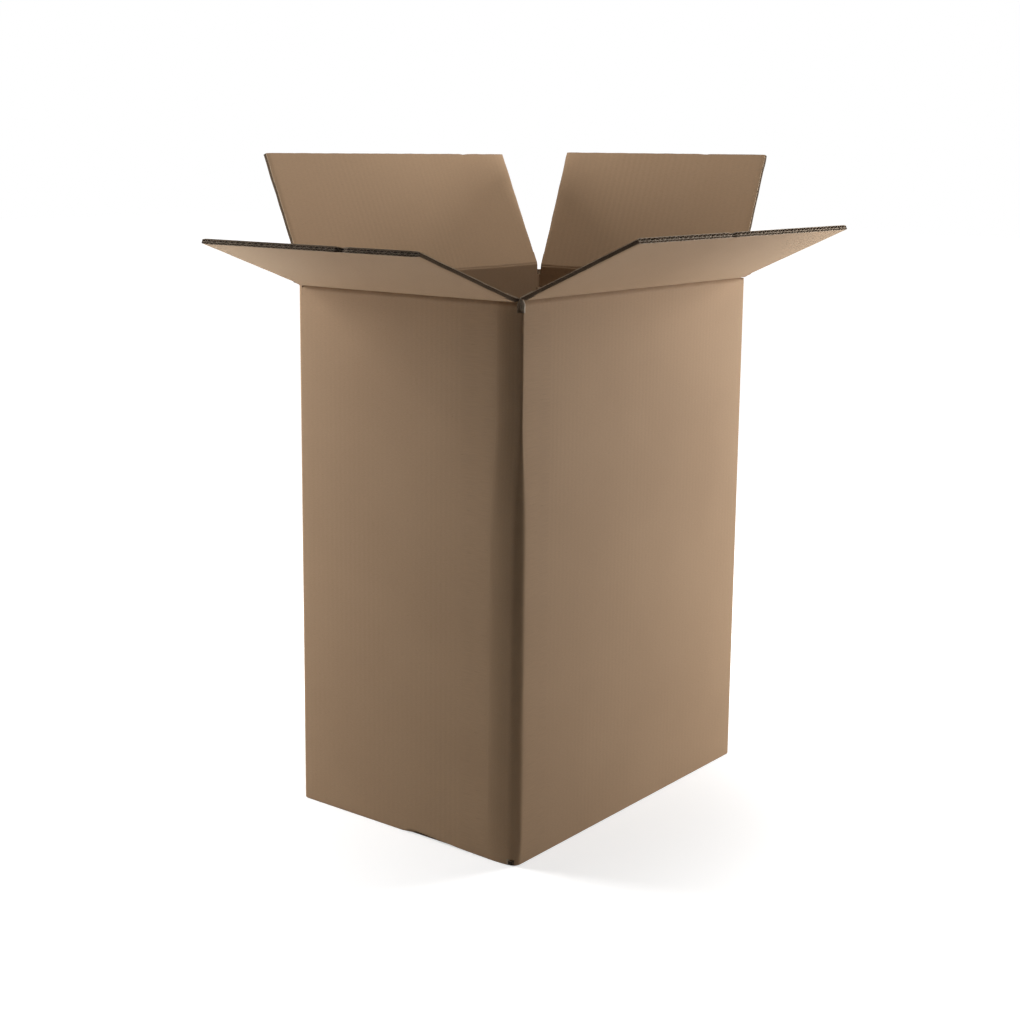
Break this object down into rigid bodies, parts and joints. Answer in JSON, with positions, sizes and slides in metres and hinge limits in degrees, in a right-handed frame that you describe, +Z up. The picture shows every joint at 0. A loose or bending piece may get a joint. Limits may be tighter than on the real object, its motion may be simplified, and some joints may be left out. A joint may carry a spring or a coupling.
{
  "type": "open cardboard box",
  "caption": "Tall brown shipping box folded from double-wall corrugated board, with a closed base and hinged top flaps standing open.",
  "frame": {"origin": "middle of the base, on the floor", "axes": "+Z up along the walls, +X along the long walls, +Y along the short walls, from the front flap to the back flap"},
  "size_m": [0.5902, 0.4645, 0.6857],
  "materials": {
    "kraft_board": "matte",
    "fluted_kraft": "matte"
  },
  "bodies": {
    "box": {"box_body": "kraft_board"},
    "front": {"front_flap": "fluted_kraft"},
    "back": {"back_flap": "fluted_kraft"},
    "left": {"left_flap": "fluted_kraft"},
    "right": {"right_flap": "fluted_kraft"}
  },
  "joints": [
    {"name": "front_crease", "type": "hinge", "parent": "box", "child": "front", "pos_m": [0, -0.1397, 0.5539], "axis": [1, 0, 0], "range_deg": [-155.2, 69.8]},
    {"name": "back_crease", "type": "hinge", "parent": "box", "child": "back", "pos_m": [0, 0.1397, 0.5539], "axis": [-1, 0, 0], "range_deg": [-113, 112]},
    {"name": "left_crease", "type": "hinge", "parent": "box", "child": "left", "pos_m": [-0.20275, 0, 0.5507], "axis": [0, -1, 0], "range_deg": [-160.4, 64.6]},
    {"name": "right_crease", "type": "hinge", "parent": "box", "child": "right", "pos_m": [0.20275, 0, 0.5507], "axis": [0, 1, 0], "range_deg": [-110.4, 114.6]}
  ]
}
